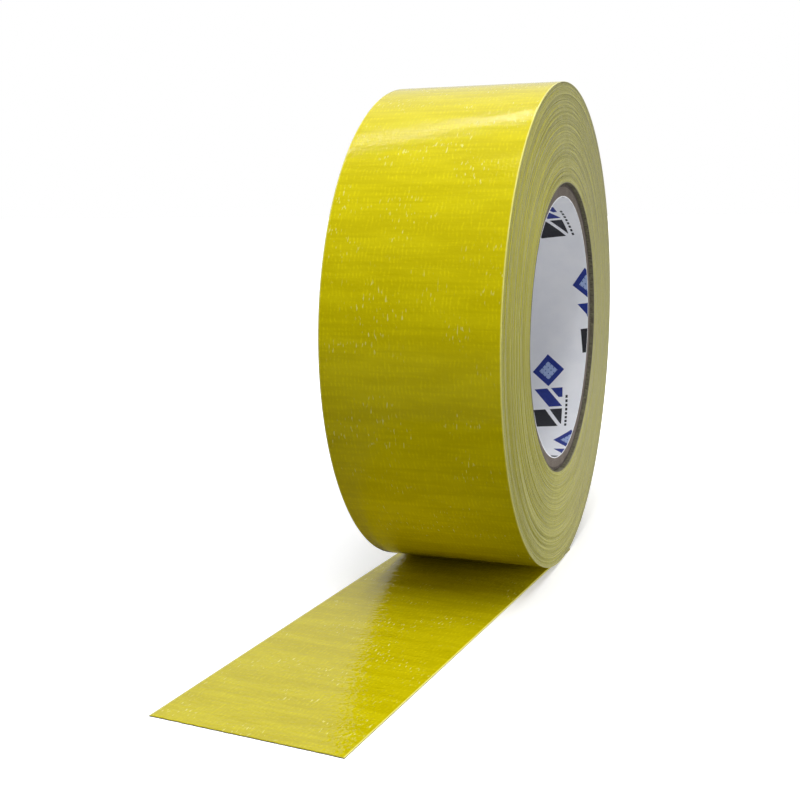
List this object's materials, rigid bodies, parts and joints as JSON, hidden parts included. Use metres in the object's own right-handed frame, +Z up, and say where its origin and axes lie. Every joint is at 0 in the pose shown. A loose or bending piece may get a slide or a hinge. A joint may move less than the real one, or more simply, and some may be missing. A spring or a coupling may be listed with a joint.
{
  "type": "adhesive cloth tape roll",
  "caption": "Roll of glossy yellow cloth-backed adhesive tape on a paper-lined board core, standing up with its free end laid out flat in front.",
  "frame": {"origin": "centre of the core's bore, midway along the tape's width", "axes": "+X along the roll's axis, +Z up, -Y the way the free end runs; the tape comes down the -Y side of the roll"},
  "size_m": [0.0608, 0.2098, 0.1407],
  "materials": {
    "film": "gloss",
    "scrim": "matte",
    "adhesive": "satin",
    "wound_tape": "satin",
    "kraft_board": "matte",
    "liner_paper": "satin"
  },
  "bodies": {
    "peel_line": {"peel_fold_film": "film", "peel_fold_scrim": "scrim", "peel_fold_adhesive": "adhesive", "paid_out_film": "film", "paid_out_scrim": "scrim", "paid_out_adhesive": "adhesive"},
    "roll": {"core_liner": "liner_paper", "core_ply_1": "kraft_board", "core_ply_2": "kraft_board", "core_ply_3": "kraft_board", "core_ply_4": "kraft_board", "wound_pack": "wound_tape", "outer_turn_film": "film", "outer_turn_scrim": "scrim", "outer_turn_adhesive": "adhesive"},
    "tail": {"tail_film": "film", "tail_scrim": "scrim", "tail_adhesive": "adhesive"}
  },
  "joints": [
    {"name": "roll_turn", "type": "hinge", "parent": "peel_line", "child": "roll", "pos_m": [0, 0, 0], "axis": [1, 0, 0], "range_deg": [0, 115]},
    {"name": "tail_pull", "type": "slide", "parent": "peel_line", "child": "tail", "axis": [-0.0872, -0.9962, 0], "range_m": [0, 0.1415], "deforming": ["paid_out_film", "paid_out_scrim", "paid_out_adhesive"]}
  ],
  "couplings": [
    {"joint": "tail_pull", "follows": "roll_turn", "m_per_rad": 0.0702}
  ]
}
